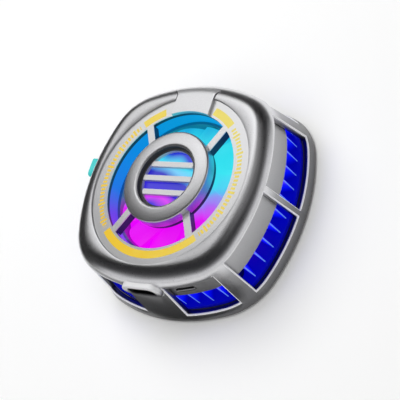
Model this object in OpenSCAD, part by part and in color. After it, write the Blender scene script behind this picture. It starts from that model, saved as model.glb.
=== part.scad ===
// Phone cooling fan: a squared-off round housing with a lit axial fan behind a
// spoked face ring, a finned heat sink that shows through the side windows, and
// a thermoelectric cold plate with a magnet ring on its rear face.
// Millimetres. The rear contact face lies on z = 0 and the fan axis is +Z.
// The socket side faces -Y and the bridge lies at +Y.

/* [Housing] */
// Width and depth of the housing across its rear edge
body_w = 64.8; // [62:0.2:70]
// Height of the housing from its rear edge to the top of the bezel
body_h = 19.8; // [19.2:0.1:23]
// Distance between the centres of a side's bow and of a corner's arc: more gives tighter corners
bow_gap = 35; // [32:0.5:37]
// Wall thickness of the housing
wall = 1.6; // [1.3:0.1:1.8]
// Radius of the rounded bezel edge
bezel_r = 4.5; // [3.8:0.1:4.6]
// Width of the flat land between the bezel's rounding and its opening
bezel_land = 0.33; // [0.2:0.01:0.8]
// Lean of the side walls towards the front, in degrees
draft = 8.7; // [6:0.1:10]
// Height of the flared rear rim
rim_h = 2.5; // [2:0.1:3]
// How far the rear rim flares out
rim_flare = 0.7; // [0.3:0.1:1]
// Radius of the four screw posts
post_r = 2.2; // [1.9:0.1:2.4]

/* [Side windows] */
// Distance from the housing's rear edge to the ends of the windows round the corner
window_inset = 10.7; // [10:0.1:11.6]
// Drop from the top of the bezel to the left and right windows' front edge
window_drop = 3.2; // [3:0.1:3.8]
// Drop from the top of the bezel to the other two sides' windows
end_window_drop = 4.5; // [4:0.1:5]
// Height of the windows' open part, where the fins show
vent_h = 6.6; // [5.8:0.1:7]
// Width of the thin post in the left and right windows
mid_post_w = 2; // [1.6:0.1:3]
// Width of the pillar round the socket, and of the one opposite
pillar_w = 13.9; // [13.4:0.1:16]

/* [Face ring, hub and bridge] */
// Width of the printed face ring
ring_w = 4.6; // [4:0.1:5]
// Thickness of the face ring
ring_t = 1.2; // [1:0.1:1.4]
// Depth of the face ring below the top of the bezel
ring_drop = 0.6; // [0.4:0.1:0.9]
// Gap round the face ring
ring_gap = 0.25; // [0.1:0.05:0.4]
// Width of the four spokes
spoke_w = 2.1; // [1.6:0.1:2.6]
// Place of the spokes' inner ends, in degrees from the X axis
spoke_in_angle = 45; // [42:0.5:48]
// Place of the spokes' outer ends, in degrees from the X axis
spoke_out_angle = 50.5; // [45:0.5:52]
// Depth of the spokes
spoke_d = 2.4; // [2:0.1:2.8]
// Outer radius of the hub ring
hub_r = 13.4; // [12.4:0.1:14]
// Radius of the hub ring's bore
hub_bore_r = 8.9; // [8:0.1:9.4]
// Rise of the hub ring above the face ring
hub_rise = 2.1; // [1.6:0.1:2.6]
// Radius that rounds the hub ring's outer edge
hub_edge_r = 0.6; // [0.4:0.1:0.8]
// Radius of the hub ring's domed top, in profile
hub_dome_r = 15; // [10:0.5:20]
// Thickness of the hub's light diffuser
lens_t = 0.8; // [0.6:0.1:1]
// Thickness of the hub grille
grille_t = 1; // [0.8:0.1:1.2]
// Width of the hub grille's bars
grille_bar_w = 1.5; // [1.2:0.1:2]
// Width of the bridge
bridge_w = 12.4; // [10:0.2:13]
// How far each side of the bridge flares at its outer end
bridge_flare = 1.1; // [0.6:0.1:1.4]
// Thickness of the bridge
bridge_t = 0.9; // [0.7:0.1:1]
// Gap round the bridge in the bezel
bridge_gap = 0.2; // [0.1:0.05:0.3]
// Slope at which the bridge's outer end stops on the bezel's rounding, in degrees
bridge_bend_end = 52; // [42:1:60]

/* [Fan] */
// Number of blades
blade_n = 11; // [9:1:13]
// Thickness of the blades
blade_t = 0.9; // [0.7:0.1:1.1]
// Pitch of the blades, in degrees
blade_pitch = 20; // [17:1:26]
// Radius of the blades' camber
blade_camber_r = 14; // [12:1:24]
// Height of the blades
blade_h = 3; // [2.6:0.1:3.2]
// Gap between the blade tips and the shroud
tip_gap = 0.5; // [0.3:0.05:0.8]
// Outer radius of the fan's hub
fan_hub_r = 9; // [8.8:0.1:9.6]
// Wall of the fan's hub
fan_hub_wall = 0.8; // [0.6:0.05:0.9]
// Radius of the fan shaft
shaft_r = 0.75; // [0.6:0.05:0.9]
// Running clearance of the shaft in its bush
shaft_clearance = 0.04; // [0.02:0.01:0.08]
// Plate thickness of the fan frame
frame_t = 1.2; // [1:0.1:1.4]
// Wall thickness of the fan frame
frame_wall = 1.3; // [1.1:0.1:1.5]
// Clearance between the fan frame and the housing
frame_gap = 0.15; // [0.1:0.05:0.25]

/* [Cooling stack] */
// Thickness of the soft pad ring that meets the phone
pad_t = 0.8; // [0.6:0.1:1]
// Thickness of the rear cover
cover_t = 1.5; // [1.3:0.1:1.7]
// Radius of the cold plate
cold_r = 17.5; // [16.5:0.1:18]
// Thickness of the cold plate
cold_t = 1.3; // [1.2:0.1:1.6]
// Side of the square thermoelectric module
module_w = 24; // [22:0.5:24.5]
// Thickness of each of the module's ceramic plates
ceramic_t = 0.3; // [0.25:0.05:0.4]
// Height of the module's pellets
pellet_h = 1; // [0.9:0.1:1.4]
// Thickness of the heat sink's base
sink_base_t = 1.2; // [1:0.1:1.6]
// Number of long fins, with a short fin between each pair
fin_n = 22; // [18:1:24]
// Thickness of the fins
fin_t = 0.6; // [0.5:0.05:0.8]
// Setback of the fins behind the housing's rear edge
fin_setback = 3.6; // [3.5:0.1:4.6]
// Distance from the rear cover's edge to the magnet ring
magnet_inset = 2.35; // [2:0.05:3]
// Radial width of the magnets
magnet_w = 4.4; // [4:0.1:4.8]
// Number of magnets between each two screws
magnet_n = 3; // [2:1:4]

/* [Socket, keys and lights] */
// Depth of the socket's centre below the face ring
socket_drop = 4.6; // [4.5:0.1:5]
// Outer width of the socket shell
socket_w = 8.94; // [8.8:0.02:9.1]
// Outer height of the socket shell
socket_h = 3.26; // [3.2:0.02:3.4]
// How far the socket's frame stands proud of the housing
socket_proud = 0.7; // [0.5:0.1:1.2]
// Length of the mode key
mode_key_l = 5.6; // [5:0.1:6]
// Height of the mode key
mode_key_h = 1.2; // [1:0.1:1.4]
// Place of the mode key along its side, from the socket
mode_key_x = 11.2; // [11:0.1:12.4]
// How far the middle of the mode key stands out of the fan frame
mode_key_proud = 0.2; // [0.1:0.05:0.4]
// Length of the light key
light_key_l = 5.6; // [5:0.1:6]
// Height of the light key
light_key_h = 2; // [1.6:0.1:2.2]
// Place of the light key along its side
light_key_y = 4.2; // [4.1:0.1:6]
// How far the light key stands out of the fan frame
light_key_proud = 4.4; // [3:0.1:4.6]
// Depth of the light key's centre below the face ring
light_key_drop = 3.9; // [3.8:0.1:4.6]
// Travel of both keys
key_travel = 0.3; // [0.2:0.05:0.4]
// Clearance round both keys
key_gap = 0.25; // [0.2:0.05:0.3]
// Number of lamps on the light ring
led_n = 12; // [8:1:12]

/* [Hidden] */
$fn = 64;

// A small overlap that joins solids of one piece, and lets cuts pass right through
lap = 0.2;
// Slack of pieces that drop into each other
slip = 0.03;
// Number of straight steps in a rounded profile
arc_steps = 7;
// A length that reaches beyond the housing from anywhere in it
sector_reach = 100;

// Outline of the housing: four bowed sides that run into four corner arcs.
// The line where a side meets a corner leans by whole thousandths, so that both end on the same plane.
seam_cos = 0.936;
seam_sin = 0.352;
half_w = body_w / 2;
corner_c = bow_gap * seam_sin;
side_c = bow_gap * seam_cos - corner_c;
side_r = half_w + side_c;
corner_r = side_r - bow_gap;

// Heights of the housing
z_rear = pad_t;
z_rim = z_rear + rim_h;
z_top = z_rear + body_h;
z_bezel = z_top - bezel_r;
window_l = body_w - 2 * window_inset;
z_window = z_top - window_drop;
z_end_window = z_top - end_window_drop;
z_ring = z_top - ring_drop;
z_seat = z_ring - ring_t;
z_spoke = z_ring - spoke_d;

// Half-widths of the housing, at the middle of a side
rim_u = half_w - rim_flare;
bezel_u = rim_u - (z_bezel - z_rim) * tan(draft) - bezel_r / cos(draft);

// Face ring
seat_r = bezel_u - bezel_land;
ring_r = seat_r - ring_gap;
open_r = ring_r - ring_w;
seat_wall = 1;
flange_t = 1;
flange_r = open_r + ring_w / 2;
collar_r = hub_bore_r - 0.7;

// Cooling stack
module_t = 2 * ceramic_t + pellet_h;
z_cover = z_rear + cover_t;
z_sink = cold_t + module_t;
z_fin = z_sink + sink_base_t;
z_frame = z_rim + vent_h;
z_plate = z_frame + frame_t;
fin_u = half_w - fin_setback;
sink_base_u = frame_u(z_fin);
fin_top_gap = 0.2;
cover_u = rim_u - wall - frame_gap;
cover_hole_r = cold_r + 0.2;
pad_in_r = cold_r + 0.9;
pad_lap = 1;
magnet_out_r = cover_u - magnet_inset;
magnet_in_r = magnet_out_r - magnet_w;
magnet_skin = 0.4;
magnet_step = 65 / magnet_n;
magnet_angle = magnet_step - 2;
pad_out_r = magnet_out_r + pad_lap;

// Fan frame, which follows the inside of the housing
z_frame_top = z_window + lap;
frame_top_u = bezel_u + sqrt(pow(bezel_r - wall - frame_gap, 2) - pow(z_frame_top - z_bezel, 2));
shroud_wall = 1.2;
shroud_r = open_r - 0.6;
blade_r = shroud_r - tip_gap;
fan_gap = 0.4;
z_fan = z_plate + fan_gap;
z_shroud = z_fan + blade_h + 0.1;
hub_gap = 1.3;
z_cup = z_spoke - hub_gap;
cup_t = 0.8;
z_cup_in = z_cup - cup_t;
strut_w = 2.2;

// Motor
tube_r = 2.4;
bush_r = 1.6;
bush_bore_r = shaft_r + shaft_clearance;
z_bush = z_cup_in - 0.8;
yoke_t = 0.5;
yoke_r = fan_hub_r - fan_hub_wall - slip;
magnet_ring_r = yoke_r - yoke_t - slip;
magnet_ring_t = 1;
air_gap = 0.3;
stator_r = magnet_ring_r - magnet_ring_t - air_gap;
stator_n = 6;
coil_t = 0.45;
z_stator = z_fan + 0.2 + coil_t;
stator_h = z_bush - 0.4 - coil_t - z_stator;
shoe_t = 0.6;
arm_w = 1.2;
core_r = tube_r + slip + 0.9;
clip_t = 0.3;
clip_groove = 0.15;

// Screws
screw_r = 0.75;
pilot_gap = 0.05;
pilot_r = screw_r + pilot_gap;
screw_head_r = 1.5;
screw_head_t = 0.9;
screw_depth = 5;
post_gap = 0.25;
frame_in_r = corner_r - half_w + frame_top_u - frame_wall;
post_xy = corner_c + (frame_in_r - post_r - post_gap) / sqrt(2);
gasket_gap = 1.5;
gasket_r = post_xy * sqrt(2) - post_r - gasket_gap;
fan_boss_r = 1.8;
fan_screw_shift = 0.1;
fan_screw_xy = (post_xy - post_r / sqrt(2) + (shroud_r + shroud_wall) / sqrt(2)) / 2 - fan_screw_shift;
fan_screw_depth = 3.2;

// Socket and main board
z_socket = z_ring - socket_drop;
socket_len = 7;
socket_t = 0.3;
socket_play = 0.2;
socket_frame_wall = 1.55;
socket_front = side_u(z_socket) + socket_proud;
socket_recess = 0.15;
socket_frame_rear = side_u(z_socket) - wall - frame_wall - 2 * frame_gap - lap;
socket_back_t = 1;
board_t = 0.8;
z_board_top = z_socket - socket_h / 2;
z_board = z_board_top - board_t;
board_nose_w = 13;
board_gap = 0.4;
board_w = 2 * (post_xy - post_r - board_gap);
board_front = socket_frame_rear - frame_gap;
board_reach = 2.4;
board_back = shroud_r - board_reach;
standoff_inset = 2;
standoff_x = board_nose_w / 2 - standoff_inset;
standoff_r = 1.3;

// Keys: the mode key slides square to the bowed wall, and the light key square to its side
key_flange = 0.45;
key_flange_t = 0.6;
key_seat_gap = 0.12;
switch_gap = key_travel + 0.08;
switch_w = 3.2;
switch_d = 2;
switch_h = 1.5;
plunger_d = 0.3;
z_mode_key = z_board - switch_h / 2;
mode_key_turn = asin(mode_key_x / (side_c + frame_u(z_mode_key)));
mode_face = frame_u(z_mode_key) + mode_key_proud;
mode_flange = key_flange_y(0, mode_key_l, mode_key_h, z_mode_key);
z_light_key = z_ring - light_key_drop;
light_face = wall_y(light_key_y, frame_u(z_light_key)) + light_key_proud;
light_flange = key_flange_y(light_key_y, light_key_l, light_key_h, z_light_key);
board_shoulder = (side_c + mode_flange - key_flange_t - key_travel) * cos(mode_key_turn)
    - (mode_key_l / 2 + key_flange) * sin(mode_key_turn) - side_c - frame_gap;
standoff_y = board_shoulder - standoff_r;

// Lights
light_board_t = 0.6;
z_light_board = z_seat - flange_t;
light_board_in_r = open_r + 1.6;
light_board_out_r = post_xy * sqrt(2) - post_r - frame_gap;
guide_t = 1.3;
led_w = 1.6;
led_d = 1.3;
led_h = 0.9;
led_r = light_board_in_r + 0.4;

// Colours
silver = [0.80, 0.80, 0.82];
pale = [0.87, 0.87, 0.88];
graphite = [0.16, 0.17, 0.19];
fin_blue = [0.05, 0.08, 0.75];
steel = [0.62, 0.63, 0.65];
copper = [0.78, 0.45, 0.22];
board_green = [0.05, 0.28, 0.18];
ceramic = [0.94, 0.94, 0.92];
glow_cyan = [0.25, 0.85, 0.95, 0.8];
glow_violet = [0.60, 0.30, 0.95, 0.8];
teal = [0.20, 0.75, 0.75, 0.8];

// Half-width of the housing's drafted side wall at height z
function side_u(z) = rim_u - (z - z_rim) * tan(draft);

// Half-width of the fan frame's outer wall at height z
function frame_u(z) = side_u(z) - (wall + frame_gap) / cos(draft);

// Distance from the axis to a bowed wall of half-width u, x along the side
function wall_y(x, u) = sqrt(pow(side_c + u, 2) - x * x) - side_c;

// Distance from the axis to a key's flange, just inside the fan frame's wall
function key_flange_y(x, l, h, z) =
    wall_y(x + l / 2 + key_flange, frame_u(z + h / 2 + key_flange) - frame_wall) - key_seat_gap;

// Points of an arc in a profile
function arc(u, z, r, from, to) = [
    for (i = [0:arc_steps])
        let (a = from + (to - from) * i / arc_steps)
            [u + r * cos(a), z + r * sin(a)]
];

// The part of the plan that a side's bow covers, and the part that a corner's arc covers
module side_sector() {
    translate([-side_c, 0])
        polygon(sector_reach * [[0, 0], [seam_cos, -seam_sin], [seam_cos, seam_sin]]);
}

module corner_sector() {
    translate([corner_c, corner_c])
        polygon(sector_reach * [[0, 0], [seam_cos, seam_sin], [1, 1], [seam_sin, seam_cos]]);
}

// Sweeps a profile of (half-width, height) right round the housing's outline
module sweep_outline() {
    for (i = [0:3])
        rotate([0, 0, 90 * i]) {
            intersection() {
                translate([-side_c, 0, 0])
                    rotate([0, 0, -90])
                        rotate_extrude(angle = 180)
                            translate([side_c, 0])
                                children();
                linear_extrude(sector_reach)
                    side_sector();
            }
            intersection() {
                translate([corner_c, corner_c, 0])
                    rotate_extrude(angle = 90)
                        translate([corner_r - half_w, 0])
                            children();
                linear_extrude(sector_reach)
                    corner_sector();
            }
        }
}

// The housing's outline, with half-width u at the middle of each side
module outline(u) {
    inset = half_w - u;
    for (i = [0:3])
        rotate(90 * i) {
            translate([corner_c, corner_c])
                circle(corner_r - inset);
            intersection() {
                translate([-side_c, 0])
                    circle(side_r - inset);
                side_sector();
            }
        }
}

// A flat plate of the housing's outline
module outline_plate(u, z0, z1) {
    translate([0, 0, z0])
        linear_extrude(z1 - z0)
            outline(u);
}

module tube(r_out, r_in, z0, z1) {
    translate([0, 0, z0])
        linear_extrude(z1 - z0)
            difference() {
                circle(r_out);
                circle(r_in);
            }
}

module disc(r, z0, z1) {
    translate([0, 0, z0])
        cylinder(r = r, h = z1 - z0);
}

// A bar that runs out from the axis
module radial_bar(r0, r1, w, z0, z1) {
    translate([r0, -w / 2, z0])
        cube([r1 - r0, w, z1 - z0]);
}

// A slot shape with round ends, w long and h high
module slot(w, h) {
    square([w - h, h], center = true);
    for (s = [-1, 1])
        translate([s * (w - h) / 2, 0])
            circle(h / 2);
}

// A slot-shaped bar along Y, between y0 and y1
module slot_bar(w, h, y0, y1) {
    translate([0, y1, 0])
        rotate([90, 0, 0])
            linear_extrude(y1 - y0)
                slot(w, h);
}

module at_corners(xy) {
    for (x = [-1, 1], y = [-1, 1])
        translate([x * xy, y * xy, 0])
            children();
}

// Places of the two keys, whose outer ends face -Y before they are turned
module on_mode_side() {
    translate([0, side_c, 0])
        rotate([0, 0, mode_key_turn])
            translate([0, -side_c, z_mode_key])
                children();
}

module on_light_side() {
    rotate([0, 0, -90])
        translate([-light_key_y, 0, z_light_key])
            children();
}

module on_socket() {
    translate([0, 0, z_socket])
        children();
}

// Housing wall: flared rim, drafted side and rounded bezel
module shell_profile() {
    in_r = bezel_r - wall;
    polygon(concat(
        [[half_w, z_rear], [rim_u, z_rim]],
        arc(bezel_u, z_bezel, bezel_r, draft, 90),
        [[bezel_u - lap, z_top], [bezel_u - lap, z_top - wall]],
        arc(bezel_u, z_bezel, in_r, 90, draft),
        [[rim_u - wall, z_rim], [rim_u - wall, z_rear]]
    ));
}

// Plan of the bridge, with flared sides at its outer end
module bridge_plan(gap) {
    half = bridge_w / 2 + gap;
    flare_from = bezel_u - 1.2;
    flare_to = flare_from + 2 * bridge_flare;
    side = concat(
        [[half, 0], [half, flare_from]],
        [for (i = [1:arc_steps])
            let (a = 90 * i / arc_steps)
                [half + bridge_flare * (1 - cos(a)), flare_from + 2 * bridge_flare * sin(a)]],
        [[half + bridge_flare, half_w]]
    );
    difference() {
        polygon(concat(side, [for (i = [len(side) - 1:-1:0]) [-side[i][0], side[i][1]]]));
        circle(open_r + (gap > 0 ? -lap : 0));
    }
}

// Strip that lies flat on the face and bends down over the bezel's rounding
module bridge_strip(gap, lift) {
    bend_r = z_ring - z_bezel;
    bend_end = bridge_bend_end - 4 * gap;
    sweep = 12;
    translate([0, -side_c, 0])
        rotate([0, 0, 90 - sweep])
            rotate_extrude(angle = 2 * sweep)
                translate([side_c, 0])
                    polygon(concat(
                        [[flange_r - ring_w, z_ring], [flange_r - ring_w, z_ring + bridge_t + lift]],
                        arc(bezel_u, z_bezel, bend_r + bridge_t + lift, 90, bend_end),
                        arc(bezel_u, z_bezel, bend_r, bend_end, 90)
                    ));
}

module bridge_solid(gap, lift) {
    intersection() {
        bridge_strip(gap, lift);
        translate([0, 0, z_bezel])
            linear_extrude(2 * bezel_r)
                bridge_plan(gap);
    }
}

module window_cuts() {
    reach = 2 * sector_reach;
    for (s = [0, 1]) {
        mirror([0, s, 0])
            translate([-reach / 2, mid_post_w / 2, z_rim])
                cube([reach, (window_l - mid_post_w) / 2, z_window - z_rim]);
        mirror([s, 0, 0])
            translate([pillar_w / 2, -reach / 2, z_rim])
                cube([(window_l - pillar_w) / 2, reach, z_end_window - z_rim]);
    }
}

// Outer housing, with the windows in its sides and the seat of the face ring
module front_shell() {
    socket_hole_w = socket_w + 2 * (socket_play + socket_frame_wall + slip);
    socket_hole_h = socket_h + 2 * (socket_play + socket_frame_wall * 0.65 + slip);
    color(silver)
        difference() {
            union() {
                difference() {
                    union() {
                        sweep_outline()
                            shell_profile();
                        translate([0, 0, z_top - wall])
                            linear_extrude(wall)
                                difference() {
                                    outline(bezel_u);
                                    circle(seat_r);
                                }
                    }
                    window_cuts();
                }
                tube(seat_r + seat_wall, seat_r, z_seat - flange_t, z_top - wall + lap);
                tube(seat_r + seat_wall, flange_r, z_seat - flange_t, z_seat);
                at_corners(post_xy)
                    disc(post_r, z_cover, z_top - wall + lap);
            }
            at_corners(post_xy)
                disc(pilot_r, z_cover - lap, z_cover + screw_depth);
            on_socket()
                slot_bar(socket_hole_w, socket_hole_h, -half_w, -half_w / 2);
            bridge_solid(bridge_gap, bezel_r);
        }
}

// One spoke, from the hub to the ring, between two radii and two heights
module spoke(r0, r1, z0, z1) {
    from = hub_r * [cos(spoke_in_angle), sin(spoke_in_angle)];
    to = open_r * [cos(spoke_out_angle), sin(spoke_out_angle)];
    lean = atan2(to[1] - from[1], to[0] - from[0]);
    intersection() {
        tube(r1, r0, z0, z1);
        translate([from[0], from[1], 0])
            rotate([0, 0, lean])
                radial_bar(-hub_r / 4, open_r, spoke_w, z0, z1);
    }
}

// Printed ring, its four spokes and the collar that carries the hub
module face_ring() {
    color(pale)
        difference() {
            union() {
                tube(ring_r, open_r, z_seat, z_ring);
                tube(hub_r - lap, collar_r, z_spoke, z_seat);
                for (x = [0, 1], y = [0, 1])
                    mirror([x, 0, 0])
                        mirror([0, y, 0]) {
                            spoke(hub_r - 1, open_r + 1, z_seat, z_ring);
                            spoke(hub_r - 1, open_r - lap, z_spoke, z_seat + lap);
                        }
            }
            disc(hub_r + slip, z_seat, z_ring + lap);
        }
}

// Thick ring in the middle of the face, with a domed top and a rounded outer edge
module hub_ring() {
    z_hub = z_ring + hub_rise;
    chamfer_w = 0.5;
    chamfer_h = 0.3;
    dome_u = hub_bore_r + chamfer_w;
    dome_z = z_hub - hub_dome_r;
    edge_u = hub_r - hub_edge_r;
    lean = acos((edge_u - dome_u) / (hub_dome_r - hub_edge_r));
    edge_z = dome_z + (hub_dome_r - hub_edge_r) * sin(lean);
    color(silver)
        rotate_extrude()
            polygon(concat(
                [[hub_bore_r, z_seat], [hub_r, z_seat]],
                arc(edge_u, edge_z, hub_edge_r, 0, lean),
                [for (p = arc(dome_u, dome_z, hub_dome_r, lean, 90)) if (p[0] < edge_u) p],
                [[hub_bore_r, z_hub - chamfer_h]]
            ));
}

// Plain barred grille over the hub's light
module hub_grille() {
    rim = 0.7;
    r = hub_bore_r - slip;
    pitch = 2 * (r - rim) / 4;
    color(pale)
        translate([0, 0, z_seat + lens_t])
            linear_extrude(grille_t) {
                difference() {
                    circle(r);
                    circle(r - rim);
                }
                intersection() {
                    circle(r - rim / 2);
                    for (i = [-1:1])
                        translate([0, i * pitch])
                            square([2 * r, grille_bar_w], center = true);
                }
            }
}

module hub_lens() {
    color(glow_violet)
        disc(hub_bore_r - slip, z_seat, z_seat + lens_t);
}

module top_bridge() {
    color(pale)
        bridge_solid(0, 0);
}

// Raised frame round the socket
module socket_frame() {
    color(silver)
        on_socket()
            difference() {
                slot_bar(
                    socket_w + 2 * (socket_play + socket_frame_wall),
                    socket_h + 2 * (socket_play + socket_frame_wall * 0.65),
                    -socket_front, -socket_frame_rear
                );
                slot_bar(
                    socket_w + 2 * socket_play, socket_h + 2 * socket_play,
                    -socket_front - lap, -socket_frame_rear + lap
                );
            }
}

// Clear ring round the opening, lit from its outer edge
module light_guide() {
    lip = 0.4;
    color(glow_cyan)
        rotate_extrude()
            polygon([
                [open_r + lip, z_shroud], [open_r + guide_t, z_shroud], [open_r + guide_t, z_seat],
                [open_r, z_seat], [open_r, z_shroud + lip]
            ]);
}

module light_board() {
    color(board_green)
        tube(light_board_out_r, light_board_in_r, z_light_board - light_board_t, z_light_board);
}

module lamps() {
    z = z_light_board - light_board_t;
    color(ceramic)
        for (i = [0:led_n - 1])
            rotate([0, 0, 360 * i / led_n])
                radial_bar(led_r, led_r + led_d, led_w, z - led_h, z);
}

// One cambered blade: a strip of a tube, trimmed to the fan's swept space
module blade() {
    mid_z = z_fan + blade_h / 2;
    root_r = fan_hub_r - 0.5;
    intersection() {
        tube(blade_r, root_r, z_fan, z_fan + blade_h);
        translate([root_r, sin(blade_pitch) * blade_camber_r, mid_z - cos(blade_pitch) * blade_camber_r])
            rotate([0, 90, 0])
                difference() {
                    cylinder(r = blade_camber_r + blade_t / 2, h = blade_r);
                    translate([0, 0, -lap])
                        cylinder(r = blade_camber_r - blade_t / 2, h = blade_r + 2 * lap);
                }
        translate([0, -blade_r / 3, z_fan - lap])
            cube([blade_r + lap, blade_r / 1.5, blade_h + 2 * lap]);
    }
}

// Axial fan wheel with its cup-shaped hub
module impeller() {
    color(glow_cyan)
        difference() {
            union() {
                disc(fan_hub_r, z_fan, z_cup);
                for (i = [0:blade_n - 1])
                    rotate([0, 0, 360 * i / blade_n])
                        blade();
            }
            disc(fan_hub_r - fan_hub_wall, z_fan - lap, z_cup_in);
            disc(shaft_r, z_cup_in - lap, z_cup - cup_t / 3);
        }
}

module rotor_yoke() {
    color(steel)
        tube(yoke_r, yoke_r - yoke_t, z_fan + 0.2, z_cup_in);
}

module rotor_magnet() {
    color(graphite)
        tube(magnet_ring_r, magnet_ring_r - magnet_ring_t, z_stator, z_cup_in - 0.6);
}

module fan_shaft() {
    z_clip = z_plate - clip_t - 0.1;
    color(steel)
        difference() {
            disc(shaft_r, z_frame + 0.3, z_cup - cup_t / 3);
            tube(shaft_r + lap, shaft_r - clip_groove, z_clip, z_clip + clip_t);
        }
}

// Split washer that keeps the shaft in its bush
module shaft_clip() {
    z_clip = z_plate - clip_t - 0.1;
    color(steel)
        difference() {
            tube(shaft_r + 0.55, shaft_r - clip_groove, z_clip, z_clip + clip_t);
            translate([0, -shaft_r / 2, z_clip - lap])
                cube([2 * bush_r, shaft_r, clip_t + 2 * lap]);
        }
}

module bearing_bush() {
    color(copper)
        tube(bush_r - slip, bush_bore_r, z_plate, z_bush);
}

// Stack of laminations with six T-shaped poles
module stator_core() {
    shoe_angle = 44;
    color(steel)
        translate([0, 0, z_stator])
            linear_extrude(stator_h)
                difference() {
                    union() {
                        circle(core_r);
                        for (i = [0:stator_n - 1])
                            rotate(360 * i / stator_n) {
                                translate([0, -arm_w / 2])
                                    square([stator_r - shoe_t / 2, arm_w]);
                                intersection() {
                                    difference() {
                                        circle(stator_r);
                                        circle(stator_r - shoe_t);
                                    }
                                    polygon([
                                        [0, 0],
                                        [2 * stator_r, -2 * stator_r * tan(shoe_angle / 2)],
                                        [2 * stator_r, 2 * stator_r * tan(shoe_angle / 2)]
                                    ]);
                                }
                            }
                    }
                    circle(tube_r + slip);
                }
}

// One winding round each pole
module stator_coils() {
    r0 = core_r + 0.35;
    r1 = stator_r - shoe_t - 0.1;
    color(copper)
        for (i = [0:stator_n - 1])
            rotate([0, 0, 360 * i / stator_n])
                difference() {
                    radial_bar(r0, r1, arm_w + 2 * coil_t, z_stator - coil_t, z_stator + stator_h + coil_t);
                    radial_bar(
                        r0 - lap, r1 + lap, arm_w + 2 * slip, z_stator - slip, z_stator + stator_h + slip
                    );
                }
}

// Inner wall of the fan frame, just inside the housing, with its top edge under the bezel's rounding
module frame_profile() {
    z_bend = min(z_bezel + bezel_r * sin(draft), z_frame_top - lap);
    polygon([
        [frame_u(z_frame), z_frame], [frame_u(z_bend), z_bend], [frame_top_u, z_frame_top],
        [frame_top_u - frame_wall, z_frame_top], [frame_u(z_frame) - frame_wall, z_frame]
    ]);
}

// Tray that holds the fan, its motor and the boards, and closes the front of the windows
module fan_frame() {
    socket_hole_w = socket_w + 2 * (socket_play + socket_frame_wall + frame_gap);
    socket_hole_h = socket_h + 2 * (socket_play + socket_frame_wall * 0.65 + frame_gap);
    color(silver)
        difference() {
            union() {
                sweep_outline()
                    frame_profile();
                translate([0, 0, z_frame])
                    linear_extrude(frame_t)
                        difference() {
                            outline(frame_u(z_plate) - frame_wall / 2);
                            circle(shroud_r);
                        }
                tube(shroud_r + shroud_wall, shroud_r, z_frame, z_shroud);
                for (i = [0:3])
                    rotate([0, 0, 90 * i])
                        radial_bar(fan_hub_r - 1, shroud_r + shroud_wall / 2, strut_w, z_frame, z_plate);
                disc(fan_hub_r, z_frame, z_plate);
                disc(tube_r, z_frame, z_bush);
                for (x = [-standoff_x, standoff_x])
                    translate([x, -standoff_y, 0])
                        disc(standoff_r, z_plate - lap, z_board);
                on_light_side()
                    translate([-switch_w / 2, switch_y(light_flange), z_plate - lap - z_light_key])
                        cube([switch_w, switch_d, z_light_key - switch_h / 2 - z_plate + lap]);
            }
            disc(bush_r, z_frame - lap, z_bush + lap);
            at_corners(post_xy)
                disc(post_r + post_gap, z_frame - lap, z_plate + lap);
            at_corners(fan_screw_xy)
                disc(screw_r + 0.2, z_frame - lap, z_plate + lap);
            on_socket()
                slot_bar(socket_hole_w, socket_hole_h, -half_w, -half_w / 2);
            on_mode_side()
                slot_bar(mode_key_l + 2 * key_gap, mode_key_h + 2 * key_gap, -half_w, -mode_flange + lap);
            on_light_side()
                slot_bar(
                    light_key_l + 2 * key_gap, light_key_h + 2 * key_gap,
                    -half_w, -light_flange + lap
                );
        }
}

// Pan-head screw with a cross recess, head towards +Z, seat at z = 0
module screw(depth) {
    cross_w = 0.4;
    difference() {
        union() {
            disc(screw_head_r, 0, screw_head_t);
            disc(screw_r, -depth, lap);
        }
        for (a = [0, 90])
            rotate([0, 0, a])
                translate([-screw_head_r * 0.6, -cross_w / 2, screw_head_t / 2])
                    cube([screw_head_r * 1.2, cross_w, screw_head_t]);
    }
}

module fan_screws() {
    color(steel)
        at_corners(fan_screw_xy)
            translate([0, 0, z_plate])
                screw(frame_t + fan_screw_depth);
}

// Long fins with a short fin between each pair
module fin_plan() {
    core = 9.5;
    short_from = 15;
    intersection() {
        outline(fin_u);
        union() {
            circle(core);
            for (i = [0:fin_n - 1], s = [0, 1]) {
                from = s == 0 ? core - 1 : short_from;
                rotate(360 * (i + s / 2 + 0.25) / fin_n)
                    translate([from, -fin_t / 2])
                        square([half_w * 1.5, fin_t]);
            }
        }
    }
}

module heat_sink() {
    color(fin_blue)
        difference() {
            union() {
                outline_plate(sink_base_u, z_sink, z_fin);
                translate([0, 0, z_fin - lap])
                    linear_extrude(z_frame - fin_top_gap - z_fin + lap)
                        fin_plan();
                at_corners(fan_screw_xy)
                    disc(fan_boss_r, z_fin - lap, z_frame);
            }
            at_corners(post_xy)
                disc(post_r + post_gap, z_sink - lap, z_frame);
            at_corners(fan_screw_xy)
                disc(pilot_r, z_frame - fan_screw_depth - lap, z_frame + lap);
        }
}

module module_hot_plate() {
    color(ceramic)
        translate([-module_w / 2, -module_w / 2, z_sink - ceramic_t])
            cube([module_w, module_w, ceramic_t]);
}

// Semiconductor pellets in a square grid
module module_pellets() {
    n = 8;
    side = 1.7;
    margin = 1.5;
    pitch = (module_w - 2 * margin) / n;
    color(graphite)
        for (i = [0:n - 1], j = [0:n - 1])
            translate([
                (i - (n - 1) / 2) * pitch - side / 2,
                (j - (n - 1) / 2) * pitch - side / 2,
                cold_t + ceramic_t
            ])
                cube([side, side, pellet_h]);
}

module module_cold_plate() {
    color(ceramic)
        translate([-module_w / 2, -module_w / 2, cold_t])
            cube([module_w, module_w, ceramic_t]);
}

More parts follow.
